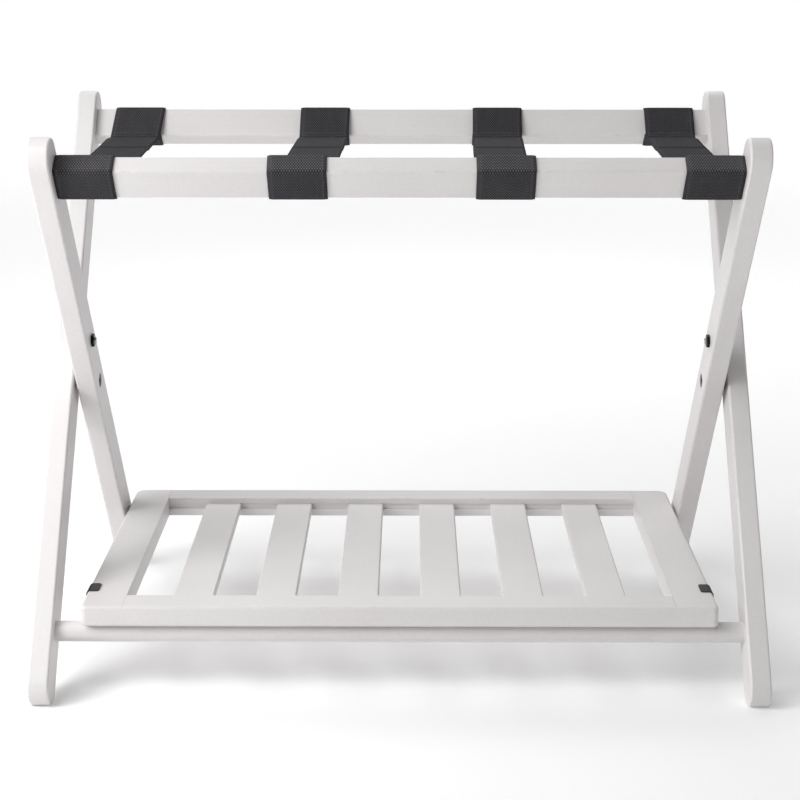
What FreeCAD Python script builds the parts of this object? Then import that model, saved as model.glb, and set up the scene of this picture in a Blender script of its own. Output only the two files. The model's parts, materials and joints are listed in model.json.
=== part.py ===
import FreeCAD, Part
import os
import Sketcher

# Folding luggage rack: two pairs of crossed wooden legs, four webbing straps and a
# slatted lower shelf.  Millimetres.  The origin is on the floor under the line
# through the two pivot bolts, +X to the right, +Y to the back, +Z up.

SIZES = {
    # legs
    "half_width": 331.0,
    "leg_thick": 19.0,
    "leg_wide": 36.0,
    "leg_gap": 3.5,
    "lean": 37.8,
    "outer_reach_up": 306.5,
    "inner_reach_up": 296.5,
    "reach_down": 300.0,
    "foot_trim": 2.0,
    "pivot_height": 253.05,
    "edge_round": 2.2,
    # top rails and the front stretcher
    "rail_deep": 32.0,
    "rail_thick": 18.0,
    "rear_rail_at": 285.0,
    "front_rail_at": 275.0,
    "rail_round": 2.0,
    "tenon_long": 10.0,
    "tenon_deep": 20.0,
    "tenon_thick": 9.0,
    "dowel_dia": 19.0,
    "dowel_at": 250.0,
    # bolts, nuts and spacers
    "bolt_dia": 6.0,
    "bolt_slack": 0.1,
    "head_dia": 13.0,
    "head_thick": 2.4,
    "recess_dia": 13.8,
    "recess_deep": 3.0,
    "socket_dia": 4.6,
    "socket_deep": 1.5,
    "spacer_dia": 16.0,
    "spacer_slack": 0.1,
    "stop_at": 60.0,
    "stop_nut_corner": 12.4,
    "stop_nut_thick": 2.8,
    "stop_tip": 2.0,
    "shelf_bolt_at": 225.5,
    "shelf_bolt_deep": 24.0,
    "shelf_washer_dia": 14.0,
    # shelf
    "shelf_half": 287.0,
    "shelf_thick": 19.5,
    "shelf_under": 65.06,
    "shelf_front": -167.5,
    "shelf_rear": 187.5,
    "end_board_wide": 38.0,
    "front_rail_wide": 31.0,
    "rear_rail_wide": 31.0,
    "corner_rear": 10.0,
    "corner_front": 5.0,
    "shelf_round": 3.0,
    "slat_wide": 37.5,
    "slat_pitch": 76.0,
    "slat_thick": 6.0,
    "slat_drop": 6.0,
    "slat_round": 1.8,
    "groove_deep": 2.2,
    "slat_tenon": 6.0,
    "shelf_tenon": 8.0,
    # edge clips on the shelf
    "clip_long": 18.7,
    "clip_reach": 11.7,
    "clip_skin": 1.2,
    "clip_y": -119.0,
    # webbing straps
    "strap_wide": 50.0,
    "strap_thick": 1.6,
    "strap_clear": 0.3,
    "strap_outer_x": 264.0,
    "strap_inner_x": 88.0,
}

doc = FreeCAD.newDocument("luggage_rack")
sheet = doc.addObject("Spreadsheet::Sheet", "Sizes")
for row, (alias, value) in enumerate(SIZES.items(), start=1):
    sheet.set("A%d" % row, alias)
    sheet.set("B%d" % row, str(value))
    sheet.setAlias("B%d" % row, alias)
doc.recompute()

made = []


def sized(text):
    """Turn names of sizes in an expression into references to the sheet."""
    for mark in "+-*/()":
        text = text.replace(mark, " %s " % mark)
    words = ["Sizes." + word if word in SIZES else word for word in text.split()]
    return " ".join(words).replace("sin (", "sin(").replace("cos (", "cos(")


def bind(item, path, text):
    item.setExpression(path, sized(text))


def plane_of(body, role):
    for plane in body.Origin.OriginFeatures:
        if getattr(plane, "Role", "") == role:
            return plane
    raise RuntimeError("no plane called " + role)


def new_body(name, x="0", y="0", z="0", turn=None):
    """A PartDesign body placed by expressions; turn leans it about the X axis."""
    body = doc.addObject("PartDesign::Body", name)
    body.Label = name
    spin = FreeCAD.Rotation(FreeCAD.Vector(1, 0, 0), 10.0 if turn else 0.0)
    body.Placement = FreeCAD.Placement(FreeCAD.Vector(0, 0, 0), spin)
    bind(body, "Placement.Base.x", x)
    bind(body, "Placement.Base.y", y)
    bind(body, "Placement.Base.z", z)
    if turn:
        bind(body, "Placement.Rotation.Angle", turn)
    made.append(body)
    return body


def new_sketch(body, name, plane, at="0", across="0", up="0", turn=None):
    """A sketch lifted by 'at' along the plane's normal and turned in its plane."""
    sketch = body.newObject("Sketcher::SketchObject", name)
    sketch.AttachmentSupport = [(plane_of(body, plane), "")]
    sketch.MapMode = "FlatFace"
    spin = FreeCAD.Rotation(FreeCAD.Vector(0, 0, 1), 10.0 if turn else 0.0)
    sketch.AttachmentOffset = FreeCAD.Placement(FreeCAD.Vector(0, 0, 0), spin)
    bind(sketch, "AttachmentOffset.Base.x", across)
    bind(sketch, "AttachmentOffset.Base.y", up)
    bind(sketch, "AttachmentOffset.Base.z", at)
    if turn:
        bind(sketch, "AttachmentOffset.Rotation.Angle", turn)
    return sketch


def pin_down(sketch, kind, first, second, start, text):
    """Hold a point at a signed distance from the sketch's origin."""
    number = sketch.addConstraint(Sketcher.Constraint(kind, -1, 1, first, second, start))
    bind(sketch, "Constraints[%d]" % number, text)


def add_box(sketch, left, right, low, high):
    """A rectangle whose four sides are given by expressions."""
    first = sketch.GeometryCount
    corners = [(-5, -5), (5, -5), (5, 5), (-5, 5)]
    for number, start in enumerate(corners):
        end = corners[(number + 1) % 4]
        line = Part.LineSegment(FreeCAD.Vector(*start, 0), FreeCAD.Vector(*end, 0))
        sketch.addGeometry(line, False)
    for number in range(4):
        here = first + number
        after = first + (number + 1) % 4
        sketch.addConstraint(Sketcher.Constraint("Coincident", here, 2, after, 1))
        flat = "Horizontal" if number % 2 == 0 else "Vertical"
        sketch.addConstraint(Sketcher.Constraint(flat, here))
    pin_down(sketch, "DistanceX", first, 1, -5.0, left)
    pin_down(sketch, "DistanceY", first, 1, -5.0, low)
    pin_down(sketch, "DistanceX", first + 2, 1, 5.0, right)
    pin_down(sketch, "DistanceY", first + 2, 1, 5.0, high)


def add_disc(sketch, diameter, across="0", up="0"):
    """A circle with its centre and diameter given by expressions."""
    circle = Part.Circle(FreeCAD.Vector(1, 1, 0), FreeCAD.Vector(0, 0, 1), 2.0)
    number = sketch.addGeometry(circle, False)
    pin_down(sketch, "DistanceX", number, 3, 1.0, across)
    pin_down(sketch, "DistanceY", number, 3, 1.0, up)
    size = sketch.addConstraint(Sketcher.Constraint("Diameter", number, 4.0))
    bind(sketch, "Constraints[%d]" % size, diameter)


def pad(body, name, sketch, length, backward=False, both=False):
    feature = body.newObject("PartDesign::Pad", name)
    feature.Profile = sketch
    feature.Midplane = both
    feature.Reversed = backward
    bind(feature, "Length", length)
    doc.recompute()
    return feature


def pocket(body, name, sketch, depth, backward=False, both=False):
    before = body.Shape.Volume
    feature = body.newObject("PartDesign::Pocket", name)
    feature.Profile = sketch
    feature.Midplane = both
    feature.Reversed = backward
    bind(feature, "Length", depth)
    doc.recompute()
    if body.Shape.Volume > before - 0.1:
        raise RuntimeError(body.Label + ": " + name + " removes nothing")
    return feature


def fillet(body, name, radius, wanted):
    """Round every edge of the body's newest feature that wanted() accepts."""
    base = body.Tip
    names = ["Edge%d" % n for n, edge in enumerate(base.Shape.Edges, start=1) if wanted(edge)]
    if not names:
        raise RuntimeError(body.Label + ": " + name + " finds no edge")
    feature = body.newObject("PartDesign::Fillet", name)
    feature.Base = (base, names)
    bind(feature, "Radius", radius)
    doc.recompute()
    return feature


def all_at(edge, axis, value):
    """True if the whole edge lies at one coordinate along an axis."""
    box = edge.BoundBox
    low = (box.XMin, box.YMin, box.ZMin)[axis]
    high = (box.XMax, box.YMax, box.ZMax)[axis]
    return abs(low - value) < 0.05 and abs(high - value) < 0.05


def runs_along(edge, axis, shortest=1.0):
    """True for a straight edge along an axis."""
    box = edge.BoundBox
    spans = [box.XLength, box.YLength, box.ZLength]
    along = spans.pop(axis)
    return along > shortest and max(spans) < 0.01


def name_side(name, side):
    return name + ("_right" if side > 0 else "_left")


def signed(text, side):
    return "(%s)" % text if side > 0 else "-1*(%s)" % text


def drill(body, name, side, diameter, up, depth, start="0", inward=False):
    """A round hole along X, outward from the inner face or inward from the outer one."""
    sketch = new_sketch(body, name + "_outline", "YZ_Plane", at=signed(start, side))
    add_disc(sketch, diameter, up=up)
    pocket(body, name, sketch, depth, backward=(side > 0) != inward)


INNER_FACE_OUTER_LEG = "half_width-leg_thick"
INNER_FACE_INNER_LEG = "half_width-2*leg_thick-leg_gap"


def make_leg(name, side, lean_sign, face, reach_up):
    """A flat leg with round ends, its foot trimmed level with the floor."""
    lean = signed("lean", lean_sign)
    body = new_body(name_side(name, side), x=signed(face, side), z="pivot_height", turn=lean)
    back = side < 0
    blade = new_sketch(body, "blade_outline", "YZ_Plane")
    add_box(blade, "-1*leg_wide/2", "leg_wide/2", "-1*reach_down", reach_up)
    pad(body, "blade", blade, "leg_thick", backward=back)
    for end, place in (("top", reach_up), ("foot", "-1*reach_down")):
        round_end = new_sketch(body, end + "_outline", "YZ_Plane")
        add_disc(round_end, "leg_wide", up=place)
        pad(body, end + "_round", round_end, "leg_thick", backward=back)
    outer = side * SIZES["leg_thick"]
    fillet(body, "soft_edges", "edge_round",
           lambda edge: all_at(edge, 0, 0.0) or all_at(edge, 0, outer))
    foot = new_sketch(body, "foot_cut", "YZ_Plane", up="-1*reach_down",
                      turn=signed("lean", -lean_sign))
    add_box(foot, "-1*leg_wide", "leg_wide", "-1*leg_wide", "foot_trim-leg_wide/2")
    pocket(body, "foot_flat", foot, "3*leg_thick", both=True)
    return body


def mortise(body, side, rail_at):
    """The blind slot for a rail's tenon, in the leg's inner face."""
    slot = new_sketch(body, "mortise_outline", "YZ_Plane")
    add_box(slot, "-1*tenon_thick/2", "tenon_thick/2",
            rail_at + "-tenon_deep/2", rail_at + "+tenon_deep/2")
    pocket(body, "mortise", slot, "tenon_long", backward=side > 0)


def rod(name, side, steps, face, up="0", lean_sign=1, rounded=None):
    """A bolt, nut or washer along X, as a row of discs (diameter, start, length)."""
    body = new_body(name_side(name, side), x=signed(face, side), z="pivot_height",
                    turn=signed("lean", lean_sign))
    for number, (diameter, start, length) in enumerate(steps, start=1):
        disc = new_sketch(body, "disc_%d_outline" % number, "YZ_Plane",
                          at=signed(start, side))
        add_disc(disc, diameter, up=up)
        pad(body, "disc_%d" % number, disc, length, backward=side < 0)
    if rounded:
        radius, place = rounded
        fillet(body, "soft_rim", radius, lambda edge: all_at(edge, 0, side * place))
    return body


def make_rail(name, lean_sign, face, rail_at):
    """A rectangular top rail between two legs, with a tenon at each end."""
    body = new_body(name, z="pivot_height", turn=signed("lean", lean_sign))
    bar = new_sketch(body, "bar_outline", "YZ_Plane")
    add_box(bar, "-1*rail_thick/2", "rail_thick/2",
            rail_at + "-rail_deep/2", rail_at + "+rail_deep/2")
    pad(body, "bar", bar, "2*(%s)" % face, both=True)
    fillet(body, "soft_edges", "rail_round", lambda edge: runs_along(edge, 0, 100.0))
    tenon = new_sketch(body, "tenon_outline", "YZ_Plane")
    add_box(tenon, "-1*tenon_thick/2", "tenon_thick/2",
            rail_at + "-tenon_deep/2", rail_at + "+tenon_deep/2")
    pad(body, "tenons", tenon, "2*(%s)+2*tenon_long" % face, both=True)
    return body


# ---- legs ----------------------------------------------------------------------
BORE = "bolt_dia+bolt_slack"

for side in (1, -1):
    leg = make_leg("outer_leg", side, -1, INNER_FACE_OUTER_LEG, "outer_reach_up")
    drill(leg, "pivot_hole", side, BORE, "0", "leg_thick")
    drill(leg, "nut_recess", side, "recess_dia", "0", "recess_deep", "leg_thick", True)
    drill(leg, "stretcher_socket", side, "dowel_dia", "-1*dowel_at", "tenon_long")
    mortise(leg, side, "rear_rail_at")

    leg = make_leg("inner_leg", side, 1, INNER_FACE_INNER_LEG, "inner_reach_up")
    drill(leg, "pivot_hole", side, BORE, "0", "leg_thick")
    drill(leg, "pivot_recess", side, "recess_dia", "0", "recess_deep")
    for hole, place in (("stop", "stop_at"), ("shelf", "-1*shelf_bolt_at")):
        drill(leg, hole + "_hole", side, "bolt_dia", place, "leg_thick")
        drill(leg, hole + "_recess", side, "head_dia", place, "recess_deep", "leg_thick", True)
    mortise(leg, side, "front_rail_at")

# ---- rails and stretcher ---------------------------------------------------------
make_rail("rear_top_rail", -1, INNER_FACE_OUTER_LEG, "rear_rail_at")
make_rail("front_top_rail", 1, INNER_FACE_INNER_LEG, "front_rail_at")

stretcher = new_body("front_stretcher", z="pivot_height", turn=signed("lean", -1))
outline = new_sketch(stretcher, "stretcher_outline", "YZ_Plane")
add_disc(outline, "dowel_dia", up="-1*dowel_at")
pad(stretcher, "stretcher", outline, "2*(%s)+2*tenon_long" % INNER_FACE_OUTER_LEG, both=True)

# ---- pivot bolts, their nuts and the spacers between the legs --------------------
SHANK_PIVOT = "2*leg_thick+leg_gap-recess_deep"
HEAD_START = "recess_deep-head_thick-spacer_slack"


def socket(body, side, diameter, depth, start, up="0"):
    """The driver's socket in a bolt head that faces the middle of the rack."""
    sketch = new_sketch(body, "socket_outline", "YZ_Plane", at=signed(start, side))
    add_disc(sketch, diameter, up=up)
    pocket(body, "socket", sketch, depth, backward=side > 0)


for side in (1, -1):
    bolt = rod("pivot_bolt", side,
               [("head_dia", HEAD_START, "head_thick"),
                ("bolt_dia", "recess_deep-spacer_slack", SHANK_PIVOT)],
               INNER_FACE_INNER_LEG)
    socket(bolt, side, "socket_dia", "socket_deep", HEAD_START)
    nut = rod("pivot_nut", side, [("head_dia", "leg_thick-recess_deep", "head_thick")],
              INNER_FACE_OUTER_LEG, lean_sign=-1)
    bore = new_sketch(nut, "bore_outline", "YZ_Plane", at=signed("leg_thick-recess_deep", side))
    add_disc(bore, "bolt_dia")
    pocket(nut, "bore", bore, "head_thick", backward=side > 0)

    spacer = rod("pivot_spacer", side,
                 [("spacer_dia", "leg_thick+spacer_slack", "leg_gap-2*spacer_slack")],
                 INNER_FACE_INNER_LEG)
    drill(spacer, "bore", side, BORE, "0", "leg_gap", "leg_thick")

# ---- stop bolts with black nuts, high on the inner legs --------------------------
for side in (1, -1):
    rod("stop_bolt", side,
        [("head_dia", "leg_thick-recess_deep", "head_thick"),
         ("bolt_dia", "-1*stop_nut_thick-stop_tip",
          "leg_thick-recess_deep+stop_nut_thick+stop_tip")],
        INNER_FACE_INNER_LEG, up="stop_at",
        rounded=("stop_tip*0.6", -SIZES["stop_nut_thick"] - SIZES["stop_tip"]))
    nut_name = name_side("stop_nut", side)
    block = doc.addObject("Part::Prism", nut_name + "_block")
    block.Polygon = 6
    bind(block, "Circumradius", "stop_nut_corner/2")
    bind(block, "Height", "stop_nut_thick")
    hole = doc.addObject("Part::Cylinder", nut_name + "_hole")
    bind(hole, "Radius", "bolt_dia/2")
    bind(hole, "Height", "stop_nut_thick")
    nut = doc.addObject("Part::Cut", nut_name)
    nut.Base = block
    nut.Tool = hole
    nut.Label = nut_name
    to_inside = FreeCAD.Rotation(FreeCAD.Vector(0, 1, 0), -90.0 * side)
    leaned = FreeCAD.Rotation(FreeCAD.Vector(1, 0, 0), SIZES["lean"])
    nut.Placement = FreeCAD.Placement(FreeCAD.Vector(0, 0, 0), leaned.multiply(to_inside))
    bind(nut, "Placement.Base.x", signed(INNER_FACE_INNER_LEG, side))
    bind(nut, "Placement.Base.y", "-1*stop_at*sin(lean*1 deg)")
    bind(nut, "Placement.Base.z", "pivot_height+stop_at*cos(lean*1 deg)")
    made.append(nut)

# ---- shelf hinge bolts and washers -----------------------------------------------
SHELF_GAP = "(half_width-2*leg_thick-leg_gap-shelf_half)"

for side in (1, -1):
    rod("shelf_bolt", side,
        [("head_dia", "leg_thick-recess_deep", "head_thick"),
         ("bolt_dia", "-1*%s-shelf_bolt_deep" % SHELF_GAP,
          "leg_thick-recess_deep+%s+shelf_bolt_deep" % SHELF_GAP)],
        INNER_FACE_INNER_LEG, up="-1*shelf_bolt_at")
    washer = rod("shelf_washer", side,
                 [("shelf_washer_dia", "-1*%s+spacer_slack" % SHELF_GAP,
                   "%s-2*spacer_slack" % SHELF_GAP)],
                 INNER_FACE_INNER_LEG, up="-1*shelf_bolt_at")
    drill(washer, "bore", side, BORE, "-1*shelf_bolt_at", SHELF_GAP, "-1*" + SHELF_GAP)

# ---- shelf -----------------------------------------------------------------------
BOARD_INNER = "shelf_half-end_board_wide"
GROOVE_LOW = "shelf_thick-slat_drop-slat_thick"
GROOVE_HIGH = "shelf_thick-slat_drop"


def shelf_body(name):
    return new_body(name, z="shelf_under")


for side in (1, -1):
    board = shelf_body(name_side("shelf_end_board", side))
    plan = new_sketch(board, "board_plan", "XY_Plane")
    if side > 0:
        add_box(plan, BOARD_INNER, "shelf_half", "shelf_front", "shelf_rear")
    else:
        add_box(plan, "-1*shelf_half", signed(BOARD_INNER, -1), "shelf_front", "shelf_rear")
    pad(board, "board", plan, "shelf_thick")
    out = side * SIZES["shelf_half"]
    rear = SIZES["shelf_rear"]
    front = SIZES["shelf_front"]
    fillet(board, "rear_corner", "corner_rear",
           lambda edge: all_at(edge, 0, out) and all_at(edge, 1, rear))
    fillet(board, "front_corner", "corner_front",
           lambda edge: all_at(edge, 0, out) and all_at(edge, 1, front))
    inner = side * (SIZES["shelf_half"] - SIZES["end_board_wide"])
    thick = SIZES["shelf_thick"]
    fillet(board, "soft_edges", "shelf_round",
           lambda edge: (all_at(edge, 2, thick) or all_at(edge, 2, 0.0))
           and not all_at(edge, 0, inner))
    for place, low, high in (("front", "shelf_front+8", "shelf_front+front_rail_wide-8"),
                             ("rear", "shelf_rear-rear_rail_wide+8", "shelf_rear-8")):
        slot = new_sketch(board, place + "_mortise_outline", "YZ_Plane",
                          at=signed(BOARD_INNER, side))
        add_box(slot, low, high, GROOVE_LOW, GROOVE_HIGH)
        pocket(board, place + "_mortise", slot, "shelf_tenon", backward=side > 0)
    hinge = new_sketch(board, "hinge_outline", "YZ_Plane", at=signed("shelf_half", side))
    add_disc(hinge, BORE, across="shelf_bolt_at*sin(lean*1 deg)",
             up="pivot_height-shelf_bolt_at*cos(lean*1 deg)-shelf_under")
    pocket(board, "hinge_hole", hinge, "shelf_bolt_deep+1", backward=side < 0)


def make_shelf_rail(name, low, high, tongue_low, tongue_high, groove_face, groove_in,
                    socket_in):
    """A shelf rail between the end boards: bar, end tongues, slat groove and sockets."""
    body = shelf_body(name)
    plan = new_sketch(body, "bar_plan", "XY_Plane")
    add_box(plan, "-1*(%s)" % BOARD_INNER, BOARD_INNER, low, high)
    pad(body, "bar", plan, "shelf_thick")
    outer_y = SIZES["shelf_front"] if name == "shelf_front_rail" else SIZES["shelf_rear"]
    fillet(body, "nose", "shelf_round",
           lambda edge: runs_along(edge, 0, 100.0) and all_at(edge, 1, outer_y))
    fillet(body, "soft_edges", "slat_round",
           lambda edge: runs_along(edge, 0, 100.0)
           and edge.BoundBox.ZMax > SIZES["shelf_thick"] - 0.01
           and abs(edge.BoundBox.YMin - groove_face) < 0.01)
    groove = new_sketch(body, "groove_outline", "YZ_Plane")
    add_box(groove, groove_in[0], groove_in[1], GROOVE_LOW, GROOVE_HIGH)
    pocket(body, "slat_groove", groove, "2*(%s)+2" % BOARD_INNER, both=True)
    sockets = new_sketch(body, "slat_sockets_outline", "XY_Plane", at=GROOVE_LOW)
    for number in range(SLATS):
        middle = "%s*slat_pitch" % (number - (SLATS - 1) / 2)
        add_box(sockets, middle + "-slat_wide/2", middle + "+slat_wide/2",
                socket_in[0], socket_in[1])
    pocket(body, "slat_sockets", sockets, "slat_thick", backward=True)
    tongue = new_sketch(body, "tongue_outline", "YZ_Plane")
    add_box(tongue, tongue_low, tongue_high, GROOVE_LOW, GROOVE_HIGH)
    pad(body, "tongues", tongue, "2*(%s)+2*shelf_tenon" % BOARD_INNER, both=True)
    return body


SLATS = 6
FRONT_INNER = "shelf_front+front_rail_wide"
REAR_INNER = "shelf_rear-rear_rail_wide"
make_shelf_rail("shelf_front_rail", "shelf_front", FRONT_INNER,
                "shelf_front+8", "shelf_front+front_rail_wide-8",
                SIZES["shelf_front"] + SIZES["front_rail_wide"],
                (FRONT_INNER + "-groove_deep", FRONT_INNER + "+2"),
                (FRONT_INNER + "-slat_tenon", FRONT_INNER + "+2"))
make_shelf_rail("shelf_rear_rail", REAR_INNER, "shelf_rear",
                "shelf_rear-rear_rail_wide+8", "shelf_rear-8",
                SIZES["shelf_rear"] - SIZES["rear_rail_wide"],
                (REAR_INNER + "-2", REAR_INNER + "+groove_deep"),
                (REAR_INNER + "-2", REAR_INNER + "+slat_tenon"))

for number in range(SLATS):
    slat = shelf_body("shelf_slat_%d" % (number + 1))
    bind(slat, "Placement.Base.x", "%s*slat_pitch" % (number - (SLATS - 1) / 2))
    plan = new_sketch(slat, "slat_plan", "XY_Plane", at=GROOVE_LOW)
    add_box(plan, "-1*slat_wide/2", "slat_wide/2",
            FRONT_INNER + "-slat_tenon", REAR_INNER + "+slat_tenon")
    pad(slat, "slat", plan, "slat_thick")
    top = SIZES["shelf_thick"] - SIZES["slat_drop"]
    fillet(slat, "soft_edges", "slat_round",
           lambda edge: runs_along(edge, 1, 100.0) and all_at(edge, 2, top))

# ---- clips over the shelf's side edges -------------------------------------------
for side in (1, -1):
    clip = new_body(name_side("shelf_edge_clip", side), y="clip_y", z="shelf_under")
    outer = "shelf_half+clip_skin"
    inner = "shelf_half-clip_reach+clip_skin"
    profile = new_sketch(clip, "clip_profile", "XZ_Plane")
    low, high = "-1*clip_skin", "shelf_thick+clip_skin"
    if side > 0:
        add_box(profile, inner, outer, low, high)
    else:
        add_box(profile, signed(outer, -1), signed(inner, -1), low, high)
    pad(clip, "block", profile, "clip_long", both=True)
    core = new_sketch(clip, "core_outline", "XZ_Plane")
    far = "shelf_half-clip_reach-5"
    if side > 0:
        add_box(core, far, "shelf_half", "0", "shelf_thick")
    else:
        add_box(core, "-1*shelf_half", signed(far, -1), "0", "shelf_thick")
    pocket(clip, "opening", core, "2*clip_long", both=True)
    x_core = side * SIZES["shelf_half"]
    fillet(clip, "soft_inside", "shelf_round",
           lambda edge: runs_along(edge, 1, 5.0) and all_at(edge, 0, x_core))
    x_out = side * (SIZES["shelf_half"] + SIZES["clip_skin"])
    fillet(clip, "soft_outside", "shelf_round+clip_skin",
           lambda edge: runs_along(edge, 1, 5.0) and all_at(edge, 0, x_out))
    x_in = side * (SIZES["shelf_half"] - SIZES["clip_reach"] + SIZES["clip_skin"])
    fillet(clip, "round_corners", "2.5",
           lambda edge: runs_along(edge, 2, 0.5) and all_at(edge, 0, x_in))

# ---- webbing straps --------------------------------------------------------------
# Each strap is one sewn length: a loop round the rear rail, a flat run, and a loop
# round the front rail.  The run leaves each rail at its lower inner corner.
RAILS = (("rear", -1, "rear_rail_at"), ("front", 1, "front_rail_at"))
INNER_SKIN = "strap_clear"
OUTER_SKIN = "strap_clear+strap_thick"
STRAPS = ("-1*strap_outer_x", "-1*strap_inner_x", "strap_inner_x", "strap_outer_x")


def loop_outline(body, name, lean_sign, rail_at, skin):
    """A block round a rail, used once as the loop's outside and once as its hollow."""
    outline = new_sketch(body, name + "_outline", "YZ_Plane", turn=signed("lean", lean_sign))
    add_box(outline, "-1*rail_thick/2-(%s)" % skin, "rail_thick/2+%s" % skin,
            rail_at + "-rail_deep/2-(%s)" % skin, rail_at + "+rail_deep/2+%s" % skin)
    return outline


def leaned_corners(lean_sign, rail_at, skin):
    """The four corners of a block round a rail, in the strap's own frame."""
    spin = FreeCAD.Rotation(FreeCAD.Vector(1, 0, 0), lean_sign * SIZES["lean"])
    half_thick = SIZES["rail_thick"] / 2 + skin
    half_deep = SIZES["rail_deep"] / 2 + skin
    return [spin.multVec(FreeCAD.Vector(0, across * half_thick, SIZES[rail_at] + up * half_deep))
            for across in (-1, 1) for up in (-1, 1)]


def at_corner(edge, corners):
    middle = edge.CenterOfMass
    return runs_along(edge, 0, 10.0) and any(
        abs(middle.y - spot.y) < 0.05 and abs(middle.z - spot.z) < 0.05 for spot in corners)


def run_end(rail_at, lean_sign):
    """Where the run meets a loop: expressions for its depth and height."""
    along = "(%s-rail_deep/2+rail_round)" % rail_at
    off = "(rail_thick/2-rail_round)"
    depth = "(%s*sin(lean*1 deg)-%s*cos(lean*1 deg)-rail_round-strap_clear-strap_thick/2)"
    height = "(%s*cos(lean*1 deg)+%s*sin(lean*1 deg))" % (along, off)
    return signed(depth % (along, off), -lean_sign), height


def add_quad(sketch, points):
    """A four-sided outline through points given by expressions."""
    starts = [(-5, -1), (5, -1), (5, 1), (-5, 1)]
    for number, start in enumerate(starts):
        end = starts[(number + 1) % 4]
        line = Part.LineSegment(FreeCAD.Vector(*start, 0), FreeCAD.Vector(*end, 0))
        sketch.addGeometry(line, False)
    for number, (across, up) in enumerate(points):
        sketch.addConstraint(Sketcher.Constraint("Coincident", number, 2, (number + 1) % 4, 1))
        pin_down(sketch, "DistanceX", number, 1, float(starts[number][0]), across)
        pin_down(sketch, "DistanceY", number, 1, float(starts[number][1]), up)


for number, place in enumerate(STRAPS, start=1):
    strap = new_body("webbing_strap_%d" % number, x=place, z="pivot_height")
    for rail, lean_sign, rail_at in RAILS:
        outside = loop_outline(strap, rail + "_loop", lean_sign, rail_at, OUTER_SKIN)
        pad(strap, rail + "_loop", outside, "strap_wide", both=True)
        full = leaned_corners(lean_sign, rail_at, SIZES["strap_clear"] + SIZES["strap_thick"])
        fillet(strap, rail + "_loop_corners", "rail_round+%s" % OUTER_SKIN,
               lambda edge: at_corner(edge, full))
    run = new_sketch(strap, "run_outline", "YZ_Plane")
    front_y, front_z = run_end("front_rail_at", 1)
    rear_y, rear_z = run_end("rear_rail_at", -1)
    half = "strap_thick/2"
    add_quad(run, [(front_y, front_z + "-" + half), (rear_y, rear_z + "-" + half),
                   (rear_y, rear_z + "+" + half), (front_y, front_z + "+" + half)])
    pad(strap, "run", run, "strap_wide", both=True)
    for rail, lean_sign, rail_at in RAILS:
        hollow = loop_outline(strap, rail + "_hollow", lean_sign, rail_at, INNER_SKIN)
        pocket(strap, rail + "_hollow", hollow, "2*strap_wide", both=True)
        full = leaned_corners(lean_sign, rail_at, SIZES["strap_clear"])
        fillet(strap, rail + "_hollow_corners", "rail_round+%s" % INNER_SKIN,
               lambda edge: at_corner(edge, full))

# ---- check and write -------------------------------------------------------------
doc.recompute()
for item in doc.Objects:
    if "Invalid" in item.State or "Error" in item.State:
        raise RuntimeError(item.Label + " is not valid: " + str(item.State))
os.makedirs("parts", exist_ok=True)
for item in made:
    if item.Shape.isNull() or not item.Shape.isValid():
        raise RuntimeError(item.Label + " has no valid shape")
    item.Shape.exportStep("parts/%s.step" % item.Label)
    print(item.Label, round(item.Shape.Volume), len(item.Shape.Solids))
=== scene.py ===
import json
import math
import random

import bmesh
import bpy
from mathutils import Euler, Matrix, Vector


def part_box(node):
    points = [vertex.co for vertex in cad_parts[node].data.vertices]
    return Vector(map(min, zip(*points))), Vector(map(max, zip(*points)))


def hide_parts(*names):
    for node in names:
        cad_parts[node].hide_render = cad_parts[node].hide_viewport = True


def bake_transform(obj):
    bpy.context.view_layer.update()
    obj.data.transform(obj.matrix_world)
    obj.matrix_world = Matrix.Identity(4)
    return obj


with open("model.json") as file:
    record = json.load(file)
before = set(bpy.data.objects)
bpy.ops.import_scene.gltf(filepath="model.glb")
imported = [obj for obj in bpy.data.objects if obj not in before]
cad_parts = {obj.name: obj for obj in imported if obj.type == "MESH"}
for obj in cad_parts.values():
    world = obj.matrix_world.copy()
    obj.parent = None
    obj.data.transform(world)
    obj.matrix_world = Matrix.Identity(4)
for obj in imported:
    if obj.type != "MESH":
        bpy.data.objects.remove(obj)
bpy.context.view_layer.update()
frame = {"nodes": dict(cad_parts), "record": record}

NODES = frame["nodes"]
JOINTS = {joint["name"]: joint for joint in frame["record"]["behaviour"]["joints"]}
PIVOT = Vector(JOINTS["frame_fold"]["pos_m"])

# Section of both top rails, and of the webbing, which lies a little off them (metres).
RAIL_DEEP = 0.032
RAIL_THICK = 0.018
WEB_WIDE = 0.0500
WEB_THICK = 0.0015
WEB_LIFT = 0.0003
STRAPS = 4
SLATS = 6
SEED = 40


def middle(node):
    low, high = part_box(node)
    return (Vector(low) + Vector(high)) / 2


REAR_RAIL = middle("rear_top_rail")
FRONT_RAIL = middle("front_top_rail")
LEAN = math.atan2(REAR_RAIL.y - PIVOT.y, REAR_RAIL.z - PIVOT.z)


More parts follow.
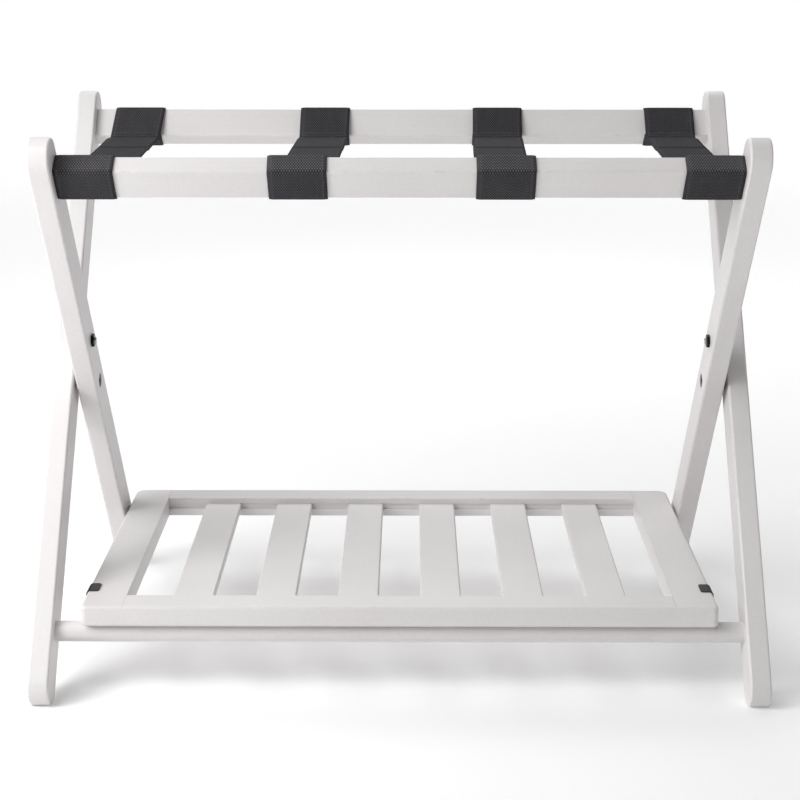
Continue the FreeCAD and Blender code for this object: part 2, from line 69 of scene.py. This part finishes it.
# ---- material builder --------------------------------------------------------------
class Paint:
    """A small builder for one procedural material."""

    def __init__(self, name, colour, roughness):
        self.material = bpy.data.materials.new(name)
        self.material.use_nodes = True
        self.tree = self.material.node_tree
        self.shader = self.tree.nodes["Principled BSDF"]
        self.shader.inputs["Base Color"].default_value = (*colour, 1.0)
        self.shader.inputs["Roughness"].default_value = roughness
        self.coord = self.tree.nodes.new("ShaderNodeTexCoord")

    def node(self, kind, **settings):
        made = self.tree.nodes.new(kind)
        for key, value in settings.items():
            setattr(made, key, value)
        return made

    def put(self, socket, value):
        if isinstance(value, bpy.types.NodeSocket):
            self.tree.links.new(value, socket)
        else:
            socket.default_value = value

    def set(self, name, value):
        self.put(self.shader.inputs[name], value)

    def math(self, operation, first, second=0.0, clamp=False):
        made = self.node("ShaderNodeMath", operation=operation, use_clamp=clamp)
        for socket, value in zip(made.inputs, (first, second)):
            self.put(socket, value)
        return made.outputs[0]

    def mapped(self, source, scale=(1, 1, 1), turn=(0, 0, 0)):
        made = self.node("ShaderNodeMapping")
        made.inputs["Scale"].default_value = scale
        made.inputs["Rotation"].default_value = turn
        self.put(made.inputs["Vector"], source)
        return made.outputs[0]

    def noise(self, vector, scale, detail=3.0, rough=0.5, twist=0.0):
        made = self.node("ShaderNodeTexNoise")
        self.put(made.inputs["Vector"], vector)
        made.inputs["Scale"].default_value = scale
        made.inputs["Detail"].default_value = detail
        made.inputs["Roughness"].default_value = rough
        made.inputs["Distortion"].default_value = twist
        return made.outputs["Fac"]

    def ramp(self, value, low, high, first=0.0, last=1.0):
        made = self.node("ShaderNodeMapRange", interpolation_type="SMOOTHSTEP")
        self.put(made.inputs["Value"], value)
        for name, number in (("From Min", low), ("From Max", high),
                             ("To Min", first), ("To Max", last)):
            made.inputs[name].default_value = number
        return made.outputs["Result"]

    def mix(self, factor, first, second):
        made = self.node("ShaderNodeMix", data_type="RGBA")
        self.put(made.inputs["Factor"], factor)
        for socket, value in ((made.inputs[6], first), (made.inputs[7], second)):
            self.put(socket, value if isinstance(value, bpy.types.NodeSocket) else (*value, 1.0))
        return made.outputs[2]

    def split(self, vector):
        made = self.node("ShaderNodeSeparateXYZ")
        self.put(made.inputs[0], vector)
        return made.outputs

    def bump(self, height, distance, strength=1.0, below=None):
        made = self.node("ShaderNodeBump")
        made.inputs["Distance"].default_value = distance
        made.inputs["Strength"].default_value = strength
        self.put(made.inputs["Height"], height)
        if below is not None:
            self.put(made.inputs["Normal"], below)
        return made.outputs[0]


# ---- white paint on wood -----------------------------------------------------------
WHITE = (0.700, 0.672, 0.672)
WHITE_THIN = (0.735, 0.712, 0.712)
WHITE_WORN = (0.520, 0.470, 0.440)
# How far in from a board's edges the paint is rubbed: where that starts and is full.
RUB_START = 0.0024
RUB_FULL = 0.0006
# A glued joint's hairline: the half widths where it is full and where it has faded.
HAIRLINE = (0.00015, 0.00060)
# Turning the row frame by the lean about X sets the legs upright.
OUTER_TURN = (LEAN, 0.0, 0.0)
INNER_TURN = (-LEAN, 0.0, 0.0)
LEVEL = (0.0, 0.0, 0.0)


def turned_box(nodes, turn):
    """The extent of some nodes once the row frame is turned; a pair counts as one side."""
    spin = Euler(turn).to_matrix()
    spots = [spin @ corner.co for node in nodes for corner in NODES[node].data.vertices]
    if len(nodes) > 1:
        spots = [Vector((abs(spot.x), spot.y, spot.z)) for spot in spots]
    low = [min(spot[axis] for spot in spots) for axis in range(3)]
    high = [max(spot[axis] for spot in spots) for axis in range(3)]
    return low, high


def white_paint(name, nodes, turn, grain_axis, worn=(), joint=None):
    """Satin paint on wood: faint grain, roller and spray texture, rubbed corners.

    worn holds the two axes across the board, once turned, whose corners are rubbed.
    joint is the distance from the middle, along X, of a glued joint's hairline.
    """
    paint = Paint(name, WHITE, 0.42)
    place = paint.mapped(paint.coord.outputs["Object"], turn=turn)
    stretch = [52.0, 52.0, 52.0]
    stretch[grain_axis] = 1.6
    grain = paint.noise(paint.mapped(place, scale=stretch), 4.0, 4.0, 0.6, 0.5)
    pores = [420.0, 420.0, 420.0]
    pores[grain_axis] = 14.0
    pore = paint.noise(paint.mapped(place, scale=pores), 2.2, 2.0, 0.5)
    cloud = paint.noise(place, 9.0, 3.0)
    spray = paint.noise(place, 1100.0, 2.0, 0.6)
    roller = paint.noise(place, 330.0, 3.0, 0.55)
    shade = paint.math("ADD", paint.math("MULTIPLY", grain, 0.16),
                       paint.math("ADD", paint.math("MULTIPLY", cloud, 0.44),
                                  paint.math("MULTIPLY", roller, 0.40)))
    colour = paint.mix(paint.ramp(shade, 0.34, 0.66), WHITE, WHITE_THIN)
    rough = paint.math("ADD", paint.math("MULTIPLY", cloud, 0.14), 0.36)
    if worn:
        low, high = turned_box(nodes, turn)
        parts = paint.split(place)
        near = []
        for axis in worn:
            away = parts[axis]
            if axis == 0 and len(nodes) > 1:
                away = paint.math("ABSOLUTE", away)
            half = (high[axis] - low[axis]) / 2
            away = paint.math("SUBTRACT", away, low[axis] + half)
            away = paint.math("ABSOLUTE", away)
            near.append(paint.ramp(away, half - RUB_START, half - RUB_FULL))
        patch = paint.ramp(paint.noise(place, 75.0, 4.0, 0.68), 0.50, 0.74)
        wear = paint.math("MULTIPLY", paint.math("MULTIPLY", near[0], near[1]), patch)
        wear = paint.math("MULTIPLY", wear, 0.38, clamp=True)
        colour = paint.mix(wear, colour, WHITE_WORN)
        rough = paint.math("ADD", rough, paint.math("MULTIPLY", wear, 0.25))
    line = None
    if joint:
        away = paint.math("ABSOLUTE", paint.split(paint.coord.outputs["Object"])[0])
        away = paint.math("ABSOLUTE", paint.math("SUBTRACT", away, joint))
        line = paint.ramp(away, *HAIRLINE, 1.0, 0.0)
        level = paint.math("ABSOLUTE", paint.split(paint.coord.outputs["Normal"])[2])
        line = paint.math("MULTIPLY", line, paint.ramp(level, 0.85, 0.97))
        colour = paint.mix(paint.math("MULTIPLY", line, 0.42), colour, WHITE_WORN)
    paint.set("Base Color", colour)
    paint.set("Roughness", rough)
    paint.set("Specular IOR Level", 0.40)
    paint.set("Coat Weight", 0.10)
    paint.set("Coat Roughness", 0.30)
    relief = paint.bump(grain, 0.00005, 0.5)
    relief = paint.bump(pore, 0.00003, 0.5, relief)
    relief = paint.bump(roller, 0.00008, 0.7, relief)
    relief = paint.bump(spray, 0.00003, 0.6, relief)
    if line is not None:
        relief = paint.bump(paint.math("SUBTRACT", 1.0, line), 0.0003, 0.6, relief)
    paint.set("Normal", relief)
    return paint.material


def apply(nodes, material):
    for node in nodes:
        mesh = NODES[node].data
        if not mesh.materials:
            mesh.materials.append(material)
        for index in range(len(mesh.materials)):
            mesh.materials[index] = material


SIDES = ("left", "right")
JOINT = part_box("shelf_end_board_right")[0][0]
BOARDS = (
    ("outer_legs", ["outer_leg_" + side for side in SIDES], OUTER_TURN, 2, (0, 1), None),
    ("inner_legs", ["inner_leg_" + side for side in SIDES], INNER_TURN, 2, (0, 1), None),
    ("rear_rail", ["rear_top_rail"], OUTER_TURN, 0, (1, 2), None),
    ("front_rail", ["front_top_rail"], INNER_TURN, 0, (1, 2), None),
    ("stretcher", ["front_stretcher"], LEVEL, 0, (), None),
    ("shelf_front", ["shelf_front_rail"], LEVEL, 0, (1, 2), JOINT),
    ("shelf_rear", ["shelf_rear_rail"], LEVEL, 0, (1, 2), JOINT),
    ("shelf_ends", ["shelf_end_board_" + side for side in SIDES], LEVEL, 1, (0, 2), JOINT),
)
for title, nodes, turn, grain_axis, worn, joint in BOARDS:
    apply(nodes, white_paint("white_paint_" + title, nodes, turn, grain_axis, worn, joint))
for number in range(1, SLATS + 1):
    slats = ["shelf_slat_%d" % number]
    apply(slats, white_paint("white_paint_slat_%d" % number, slats, LEVEL, 1, (0, 2)))


# ---- metal and plastic -------------------------------------------------------------
def metal(name, colour, dark, roughness, scale):
    paint = Paint(name, colour, roughness)
    place = paint.coord.outputs["Object"]
    blotch = paint.noise(place, scale, 4.0, 0.6)
    fine = paint.noise(place, scale * 9.0, 2.0, 0.5)
    paint.set("Base Color", paint.mix(paint.ramp(blotch, 0.35, 0.68), dark, colour))
    paint.set("Metallic", 1.0)
    uneven = paint.math("MULTIPLY", fine, 0.22)
    paint.set("Roughness", paint.math("ADD", uneven, roughness - 0.11))
    paint.set("Normal", paint.bump(fine, 0.00004, 0.5))
    return paint.material


def plastic(name, colour, pale, roughness):
    paint = Paint(name, colour, roughness)
    place = paint.coord.outputs["Object"]
    pebble = paint.noise(place, 1500.0, 2.0, 0.5)
    scuff = paint.ramp(paint.noise(place, 130.0, 4.0, 0.7), 0.55, 0.78)
    paint.set("Base Color", paint.mix(scuff, colour, pale))
    uneven = paint.math("MULTIPLY", pebble, 0.2)
    paint.set("Roughness", paint.math("ADD", uneven, roughness - 0.1))
    paint.set("Normal", paint.bump(pebble, 0.00005, 0.7))
    return paint.material


STEEL = metal("zinc_plated_steel", (0.60, 0.59, 0.57), (0.38, 0.37, 0.36), 0.34, 260.0)
DARK_STEEL = metal("dark_bronzed_steel", (0.085, 0.080, 0.078), (0.022, 0.021, 0.021), 0.46, 300.0)
BLACK_STEEL = metal("black_oxide_steel", (0.030, 0.030, 0.031), (0.014, 0.014, 0.015), 0.42, 300.0)
BLACK_PLASTIC = plastic("black_moulded_plastic", (0.022, 0.022, 0.023), (0.060, 0.060, 0.062), 0.52)
NYLON = plastic("dull_nylon", (0.30, 0.25, 0.23), (0.40, 0.35, 0.33), 0.6)
for material, titles in ((STEEL, ("stop_bolt_", "shelf_bolt_")),
                         (DARK_STEEL, ("pivot_bolt_", "pivot_nut_")),
                         (BLACK_STEEL, ("stop_nut_",)), (BLACK_PLASTIC, ("shelf_edge_clip_",)),
                         (NYLON, ("pivot_spacer_", "shelf_washer_"))):
    apply([title + side for title in titles for side in SIDES], material)


# ---- webbing -----------------------------------------------------------------------
WEB_HOLLOW_SHADE = (0.0150, 0.0143, 0.0165)
WEB_MID = (0.0520, 0.0500, 0.0560)
WEB_KNUCKLE_GLINT = (0.2300, 0.2230, 0.2350)
WEB_TOP_HIGHLIGHT = (0.300, 0.290, 0.300)
WEB_DUSTY = (0.100, 0.096, 0.102)
WEB_SHADED = (0.010, 0.0095, 0.011)
# The weave's repeat across and along the strap, and the pitch of its ribs and of the
# selvedges' twill (metres).
REPEAT_ACROSS = 0.00224
REPEAT_ALONG = 0.00345
RIB = 0.00112
TWILL = 0.0015
# Distances from the strap's middle line: where each selvedge starts, and the two sides
# of the pale stripe beside it, each fading over a short way.
SELVEDGE = (0.0222, 0.0226)
STRIPE_INNER = (0.0203, 0.0209)
STRIPE_OUTER = (0.0219, 0.0225)
# Where a strap lies over a rail's narrow upper face and its raised yarns are painted paler as a
# painted highlight, measured from the end of its free run, and how quickly that fades (metres).
UPPER_FACE_SPAN = (0.0410, 0.0600)
UPPER_FACE_FADE = 0.0015


def webbing():
    """Woven polyester: a diamond weave of raised yarns between two ribbed selvedges."""
    web = Paint("grey_webbing", WEB_MID, 0.60)
    uv = web.split(web.coord.outputs["UV"])
    across, along = uv[0], uv[1]
    half = web.math("ABSOLUTE", web.math("SUBTRACT", across, WEB_WIDE / 2))
    side = web.math("MULTIPLY", across, math.pi / REPEAT_ACROSS)
    far = web.math("MULTIPLY", along, math.pi / REPEAT_ALONG)
    one = web.math("ABSOLUTE", web.math("SINE", web.math("ADD", side, far)))
    two = web.math("ABSOLUTE", web.math("SINE", web.math("SUBTRACT", side, far)))
    knot = web.math("MULTIPLY", one, two)
    warp = web.math("ABSOLUTE", web.math("SINE", web.math("MULTIPLY", across, math.pi / RIB)))
    weave = web.math("ADD", web.math("MULTIPLY", knot, 0.72), web.math("MULTIPLY", warp, 0.28))
    place = web.node("ShaderNodeCombineXYZ")
    web.put(place.inputs[0], web.math("MULTIPLY", across, 7.0))
    web.put(place.inputs[1], along)
    fibre = web.noise(place.outputs[0], 420.0, 3.0, 0.6)
    lengthwise = web.node("ShaderNodeCombineXYZ")
    web.put(lengthwise.inputs[0], across)
    web.put(lengthwise.inputs[1], web.math("MULTIPLY", along, 0.035))
    streak = web.noise(lengthwise.outputs[0], 620.0, 2.0, 0.6)
    slant = web.math("ADD", side, web.math("MULTIPLY", along, math.pi / TWILL))
    twill = web.math("ABSOLUTE", web.math("SINE", slant))
    edge = web.ramp(half, *SELVEDGE)
    stripe = web.math("MULTIPLY", web.ramp(half, *STRIPE_INNER),
                      web.ramp(half, *STRIPE_OUTER, 1.0, 0.0))
    height = web.math("ADD", web.math("MULTIPLY", weave, web.math("SUBTRACT", 1.0, edge)),
                      web.math("MULTIPLY", twill, web.math("MULTIPLY", edge, 0.7)))
    # Painted shade: the weave is darker in the hollows between its raised yarns.
    colour = web.mix(web.ramp(height, 0.18, 0.66), WEB_HOLLOW_SHADE, WEB_MID)
    # Painted highlight: the tops of the raised yarns are paler, as glints.
    high = web.math("MULTIPLY", web.ramp(height, 0.60, 0.92), web.ramp(fibre, 0.25, 0.70))
    colour = web.mix(web.math("MULTIPLY", high, 0.66), colour, WEB_KNUCKLE_GLINT)
    cloud = web.noise(web.coord.outputs["Object"], 34.0, 4.0, 0.65)
    worn = web.ramp(cloud, 0.40, 0.75, 0.0, 0.10)
    worn = web.math("ADD", worn, web.ramp(streak, 0.45, 0.75, 0.0, 0.12))
    worn = web.math("ADD", worn, web.math("MULTIPLY", stripe, 0.22), clamp=True)
    colour = web.mix(worn, colour, WEB_DUSTY)
    # Painted shade: the strap's free run between the rails is darkened.
    away = web.math("ABSOLUTE", web.math("SUBTRACT", along, ROUTE_LENGTH / 2))
    run_shade = web.ramp(away, RUN_LENGTH / 2 - 0.002, RUN_LENGTH / 2 + 0.004, 0.36, 0.0)
    colour = web.mix(run_shade, colour, WEB_SHADED)
    # Painted highlight: the raised yarns are paler where the strap lies over the rail's upper face.
    start, end = RUN_LENGTH / 2 + UPPER_FACE_SPAN[0], RUN_LENGTH / 2 + UPPER_FACE_SPAN[1]
    top_face_highlight = web.math("MULTIPLY", web.ramp(away, start, start + UPPER_FACE_FADE),
                      web.ramp(away, end - UPPER_FACE_FADE, end, 1.0, 0.0))
    top_face_highlight = web.math("MULTIPLY", top_face_highlight, web.ramp(height, 0.35, 0.90, 0.02, 0.34))
    colour = web.mix(top_face_highlight, colour, WEB_TOP_HIGHLIGHT)
    web.set("Base Color", colour)
    web.set("Roughness", web.math("ADD", web.math("MULTIPLY", fibre, 0.20), 0.62))
    web.set("Specular IOR Level", 0.07)
    relief = web.bump(height, 0.00040, 0.9)
    web.set("Normal", web.bump(fibre, 0.00010, 0.6, relief))
    return web.material


def thread(name, dark, pale):
    """Twisted sewing thread."""
    paint = Paint(name, dark, 0.6)
    twist = paint.node("ShaderNodeTexWave", wave_type="BANDS", bands_direction="DIAGONAL")
    paint.put(twist.inputs["Vector"], paint.coord.outputs["Object"])
    twist.inputs["Scale"].default_value = 900.0
    paint.set("Base Color", paint.mix(twist.outputs["Fac"], dark, pale))
    paint.set("Specular IOR Level", 0.2)
    paint.set("Normal", paint.bump(twist.outputs["Fac"], 0.00008, 0.7))
    return paint.material


# ---- the straps' route -------------------------------------------------------------
PATH_STEP = 0.0028
ARC_STEP = 0.22


def rounded_path(points):
    """Points (y, z, radius) joined by straight runs, the corners turned with arcs."""
    spots = [Vector((y, z)) for y, z, _ in points]
    route = [spots[0]]
    for number in range(1, len(spots) - 1):
        here, radius = spots[number], points[number][2]
        back = (spots[number - 1] - here).normalized()
        ahead = (spots[number + 1] - here).normalized()
        angle = back.angle(ahead)
        reach = radius / math.tan(angle / 2)
        centre = here + (back + ahead).normalized() * (radius / math.sin(angle / 2))
        start = here + back * reach - centre
        end = here + ahead * reach - centre
        sweep = start.angle_signed(end)
        turns = max(3, int(abs(sweep) / ARC_STEP))
        for k in range(turns + 1):
            part = sweep * k / turns
            turned = Vector((start.x * math.cos(part) + start.y * math.sin(part),
                             start.y * math.cos(part) - start.x * math.sin(part)))
            route.append(centre + turned)
    route.append(spots[-1])
    full = [route[0]]
    for spot in route[1:]:
        gap = (spot - full[-1]).length
        pieces = max(1, int(gap / PATH_STEP))
        before = full[-1]
        for k in range(1, pieces + 1):
            full.append(before.lerp(spot, k / pieces))
    return [spot for k, spot in enumerate(full) if k == 0 or (spot - full[k - 1]).length > 1e-6]


def rail_frame(rail, sign):
    """The rail's centre and its up and inward directions, in the (y, z) plane."""
    centre = Vector((rail.y, rail.z))
    up = Vector((sign * math.sin(LEAN), math.cos(LEAN)))
    inward = Vector((-sign * math.cos(LEAN), math.sin(LEAN)))
    return centre, up, inward


# The length of each lapped tail from its seam, the spacing of two plies in thicknesses,
# and the radius at which the webbing turns a rail's corner.
TAIL = 0.094
PLY_PITCH = 1.03
RAIL_ROUND = 0.0021
# A strap rises a little from its seam to a crest and then sags: how far out the crest
# is, how high, and the radius of the turn there.
CREST_OUT = 0.026
CREST_RISE = Vector((0.0, 0.0021))
CREST_ROUND = 0.09
# The two rows of a seam, from the rail's lower inner corner: (towards the run, up).
# Then the radii at which the upper ply and the lower ply turn at those rows.
SEAM_ROWS = ((0.0045, 0.0026), (0.0112, -0.0012))
UPPER_TURNS = (0.0040, 0.0035)
LOWER_TURNS = (0.0022, 0.0050)
# How far each strap lies off its even place: at the front rail, at the rear seam and
# over the rear rail.
DRIFT = ((0.0000, -0.0055, -0.0027), (0.0024, 0.0100, 0.0108),
         (0.0016, 0.0095, 0.0100), (0.0002, 0.0088, 0.0088))


def seam_points(rail, sign):
    """The two rows of a seam: where the plies of a loop meet, and where the run starts."""
    centre, up, inward = rail_frame(rail, sign)
    corner = centre - up * (RAIL_DEEP / 2) + inward * (RAIL_THICK / 2)
    return tuple(corner + Vector((-sign * out, rise)) for out, rise in SEAM_ROWS)


FRONT_SEAM = seam_points(FRONT_RAIL, -1)
REAR_SEAM = seam_points(REAR_RAIL, 1)
AHEAD = (REAR_SEAM[1] - FRONT_SEAM[1]).normalized()


def upward(way):
    """The direction across a ply that points up."""
    over = Vector((-way.y, way.x))
    return over if over.y > 0 else -over


def drifted(number, spot):
    """How far off its even place a strap lies at one point of its route."""
    front, seam, over = DRIFT[number - 1]
    near, far = FRONT_SEAM[0], REAR_SEAM[0]
    run = min(1.0, max(0.0, (spot.x - near.x) / (far.x - near.x)))
    wrap = min(1.0, max(0.0, (spot.y - far.y) / (RAIL_DEEP * math.cos(LEAN))))
    wrap = wrap if spot.x > far.x else 0.0
    return front + (seam - front) * run + (over - seam) * wrap


def loop_points(rail, sign, seam, away):
    """A loop from its tail's end, under the rail and round it, to the start of the run."""
    centre, up, inward = rail_frame(rail, sign)
    lift = WEB_LIFT + WEB_THICK / 2
    deep = RAIL_DEEP / 2 + lift
    thick = RAIL_THICK / 2 + lift
    first, second = seam
    ply = WEB_THICK * PLY_PITCH
    low_first = first - upward(second - first) * ply
    low_second = second - upward(away) * ply
    crest = low_second + away * CREST_OUT + CREST_RISE
    tail = low_second + away * TAIL + CREST_RISE
    turn = RAIL_ROUND + lift
    route = [(tail, 0.0), (crest, CREST_ROUND),
             (low_second, LOWER_TURNS[1]), (low_first, LOWER_TURNS[0]),
             (centre - up * deep - inward * thick, turn),
             (centre + up * deep - inward * thick, turn),
             (centre + up * deep + inward * thick, turn),
             (first, UPPER_TURNS[0]), (second, UPPER_TURNS[1])]
    return [(spot.x, spot.y, radius) for spot, radius in route]


def strap_route():
    """The whole strap: front tail, front loop, run, rear loop, rear tail."""
    there = loop_points(FRONT_RAIL, -1, FRONT_SEAM, AHEAD)
    back = loop_points(REAR_RAIL, 1, REAR_SEAM, -AHEAD)
    route = there
    for start, way in ((FRONT_SEAM[1], AHEAD), (REAR_SEAM[1], -AHEAD)):
        crest = start + way * CREST_OUT + CREST_RISE
        route.append((crest.x, crest.y, CREST_ROUND))
    return route + back[::-1]


ROUTE = rounded_path(strap_route())
ROUTE_LENGTH = sum((here - before).length for before, here in zip(ROUTE, ROUTE[1:]))
RUN_LENGTH = (REAR_SEAM[1] - FRONT_SEAM[1]).length
WEBBING = webbing()
THREAD = thread("charcoal_thread", (0.060, 0.058, 0.062), (0.130, 0.127, 0.132))
DARK_THREAD = thread("black_thread", (0.014, 0.013, 0.015), (0.034, 0.033, 0.036))

# ---- the straps' shape -------------------------------------------------------------
# Faces across a strap, and the width over which its edges thin down (metres).
ACROSS = 16
EDGE_ROUND = 0.0014
# The thread's stitches: length, pitch and radius (metres), and sides round the thread.
STITCH = 0.0026
STITCH_STEP = 0.0030
THREAD_RADIUS = 0.00030
THREAD_SIDES = 6
# A stitch tapers at its ends: stations along it, in stitch lengths, and the share of
# the radius there.
STITCH_STATIONS = ((-0.5, 0.35), (-0.3, 1.0), (0.3, 1.0), (0.5, 0.35))


def band(name, number, centre_x):
    """A woven band swept along the strap's route, with its stitched seams."""
    rng = random.Random(SEED + number)
    waves = [(rng.uniform(14, 60), rng.uniform(0, 6.28), rng.uniform(0.00008, 0.0002))
             for _ in range(5)]
    lengths = [0.0]
    for before, here in zip(ROUTE, ROUTE[1:]):
        lengths.append(lengths[-1] + (here - before).length)
    offsets = [-WEB_WIDE / 2 + WEB_WIDE * k / ACROSS for k in range(ACROSS + 1)]
    section = [(x, 1) for x in offsets] + [(x, -1) for x in reversed(offsets)]
    verts, faces, coords = [], [], []
    ring = len(section)
    last_spot = len(ROUTE) - 1
    for k, spot in enumerate(ROUTE):
        tangent = (ROUTE[min(k + 1, last_spot)] - ROUTE[max(k - 1, 0)]).normalized()
        normal = Vector((-tangent.y, tangent.x))
        shift = drifted(number, spot)
        wobble = sum(size * math.sin(lengths[k] * rate + phase) for rate, phase, size in waves)
        for x, level in section:
            rim = max(0.0, (abs(x) - WEB_WIDE / 2 + EDGE_ROUND) / EDGE_ROUND)
            half = WEB_THICK / 2 * math.sqrt(max(0.05, 1.0 - 0.85 * rim * rim))
            place = spot + normal * (level * half)
            verts.append((centre_x + shift + x + wobble, place.x, place.y))
            coords.append((x + WEB_WIDE / 2, lengths[k]))
    for here in range(0, last_spot * ring, ring):
        ahead = here + ring
        for m in range(ring):
            after = (m + 1) % ring
            faces.append((here + m, here + after, ahead + after, ahead + m))
    last = last_spot * ring
    for m in range(ACROSS):
        far = 2 * ACROSS + 1 - m
        faces.append((m, far, far - 1, m + 1))
        faces.append((last + m, last + m + 1, last + far - 1, last + far))
    seam_start, tail_start = add_stitches(verts, faces, coords, number, centre_x, rng)
    mesh = bpy.data.meshes.new(name)
    mesh.from_pydata(verts, [], faces)
    layer = mesh.uv_layers.new(name="weave")
    for loop in mesh.loops:
        layer.data[loop.index].uv = coords[loop.vertex_index]
    for material in (WEBBING, THREAD, DARK_THREAD):
        mesh.materials.append(material)
    for index, polygon in enumerate(mesh.polygons):
        polygon.use_smooth = True
        polygon.material_index = (index >= seam_start) + (index >= tail_start)
    mesh.update()
    item = bpy.data.objects.new(name, mesh)
    bpy.context.scene.collection.objects.link(item)
    flip_if_inside_out(item)
    return item, lengths[-1]


def flip_if_inside_out(item):
    work = bmesh.new()
    work.from_mesh(item.data)
    bmesh.ops.recalc_face_normals(work, faces=work.faces)
    work.to_mesh(item.data)
    work.free()


def add_stitches(verts, faces, coords, number, centre_x, rng):
    """Raised thread across both seams, bowed apart, and across the end of each tail.

    Each row is given as a place, the way along the strap, how far that way the row
    lies, and how far its ends bow that way. Returns the faces where the seams' thread
    and the tails' darker thread start.
    """
    count = int((WEB_WIDE - 0.004) / STITCH_STEP)
    seams, tails = [], []
    for (first, second), away in ((FRONT_SEAM, AHEAD), (REAR_SEAM, -AHEAD)):
        slope = (second - first).normalized()
        tail = second + away * TAIL + CREST_RISE
        seams += [(first, slope, -0.0004, 0.0016), (second, -slope, 0.0013, 0.0008)]
        tails += [(tail, -away, 0.0026, 0.0), (tail, -away, 0.0068, 0.0)]
    starts = []
    for start, way, row, bow in seams + tails:
        starts.append(len(faces))
        drift = rng.uniform(0.0002, 0.0004)
        phase = rng.uniform(0, 6.28)
        over = upward(way)
        for level in (1, -1):
            top = WEB_THICK / 2 if level > 0 else -WEB_THICK * 1.53
            for k in range(count):
                x = STITCH_STEP * (k + 0.5 - count / 2)
                off = row + drift * math.sin(k * 0.9 + phase)
                off += bow * (2 * x / WEB_WIDE) ** 2
                spot = start + way * off + over * (top + level * 0.00014)
                one_stitch(verts, faces, coords, centre_x + drifted(number, spot) + x,
                           spot, way, over * level)
    return starts[0], starts[len(seams)]


def one_stitch(verts, faces, coords, x, spot, way, over):
    """One closed length of thread along X, with tapered ends."""
    first = len(verts)
    sides = THREAD_SIDES
    for part, swell in STITCH_STATIONS:
        for k in range(sides):
            angle = 2 * math.pi * k / sides
            offset = way * (math.cos(angle) * THREAD_RADIUS * swell)
            offset += over * (math.sin(angle) * THREAD_RADIUS * swell)
            place = spot + offset
            verts.append((x + part * STITCH, place.x, place.y))
            coords.append((0.02, 0.02))
    last = first + (len(STITCH_STATIONS) - 1) * sides
    for start in range(first, last, sides):
        for k in range(sides):
            here, after = start + k, start + (k + 1) % sides
            faces.append((here, after, after + sides, here + sides))
    faces.append(tuple(first + k for k in range(sides)))
    faces.append(tuple(last + k for k in reversed(range(sides))))


for number in range(1, STRAPS + 1):
    node = "webbing_strap_%d" % number
    strap, length = band("woven_strap_%d" % number, number, middle(node).x)
    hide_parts(node)
    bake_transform(strap)

# ---- floor, light and camera -------------------------------------------------------
# The floor's half width, how far it lies under the feet, and the distances between
# which its glow grows, so that it looks evenly pale up to the horizon (metres).
REACH = 70.0
FLOOR_DROP = 0.0004
GLOW_FROM, GLOW_TO = 0.5, 4.0
corners = [(-REACH, -REACH, 0), (REACH, -REACH, 0), (REACH, REACH, 0), (-REACH, REACH, 0)]
floor_mesh = bpy.data.meshes.new("floor")
floor_mesh.from_pydata(corners, [], [(0, 1, 2, 3)])
floor = bpy.data.objects.new("floor", floor_mesh)
floor.location.z = -FLOOR_DROP
bpy.context.scene.collection.objects.link(floor)
ground = Paint("pale_floor", (0.92, 0.92, 0.92), 0.9)
ground.set("Specular IOR Level", 0.1)
spread = ground.node("ShaderNodeVectorMath", operation="LENGTH")
ground.put(spread.inputs[0], ground.coord.outputs["Object"])
ground.shader.inputs["Emission Color"].default_value = (1.0, 1.0, 1.0, 1.0)
glow = ground.ramp(spread.outputs["Value"], GLOW_FROM, GLOW_TO, 0.11, 0.42)
ground.set("Emission Strength", glow)
floor_mesh.materials.append(ground.material)

world = bpy.data.worlds.new("studio")
bpy.context.scene.world = world
world.use_nodes = True
world.node_tree.nodes["Background"].inputs["Color"].default_value = (0.97, 0.98, 1.0, 1.0)
world.node_tree.nodes["Background"].inputs["Strength"].default_value = 0.04


LIT_SPOT = Vector((0.0, 0.0, 0.25))


def link_lamp(name, data, place, direction):
    item = bpy.data.objects.new(name, data)
    item.location = place
    item.rotation_euler = Vector(direction).to_track_quat("-Z", "Y").to_euler()
    bpy.context.scene.collection.objects.link(item)


def softbox(name, place, size, power):
    """A round lamp turned towards the rack's middle."""
    data = bpy.data.lights.new(name, "AREA")
    data.shape = "DISK"
    data.size = size
    data.energy = power
    link_lamp(name, data, place, LIT_SPOT - Vector(place))


def wide_light(name, direction, spread, strength):
    """Even light from one side, as from a large diffuser; spread is in degrees."""
    data = bpy.data.lights.new(name, "SUN")
    data.angle = math.radians(spread)
    data.energy = strength
    link_lamp(name, data, (0.0, 0.0, 3.0), direction)


wide_light("ceiling", (0.0, -0.5, -1.0), 60, 0.74)
wide_light("ceiling_left", (1.0, 0.1, -0.8), 50, 0.62)
wide_light("front_left", (0.7, 0.7, -0.9), 50, 1.08)
wide_light("side_fill", (-1.0, 0.3, -0.5), 50, 0.34)
softbox("back", (0.0, 1.6, 1.6), 1.4, 12.0)
softbox("side_key", (-0.8, -0.5, 0.5), 0.35, 3.2)
softbox("high_key", (-0.6, -0.45, 0.95), 0.4, 1.6)

# The camera stands in front of the rack, a little above it, and looks down by
# LOOK_DOWN and to the left by LOOK_LEFT (degrees).
LOOK_DOWN = 14.415
LOOK_LEFT = 0.328
camera_data = bpy.data.cameras.new("camera")
camera_data.sensor_width = 36.0
camera_data.lens = 81.04
camera_data.clip_end = 200.0
camera = bpy.data.objects.new("camera", camera_data)
camera.location = (0.00931, -1.68551, 0.66673)
camera.rotation_euler = (math.radians(90.0 - LOOK_DOWN), 0.0, math.radians(LOOK_LEFT))
bpy.context.scene.collection.objects.link(camera)
bpy.context.scene.camera = camera
bpy.context.scene.view_settings.view_transform = "Standard"
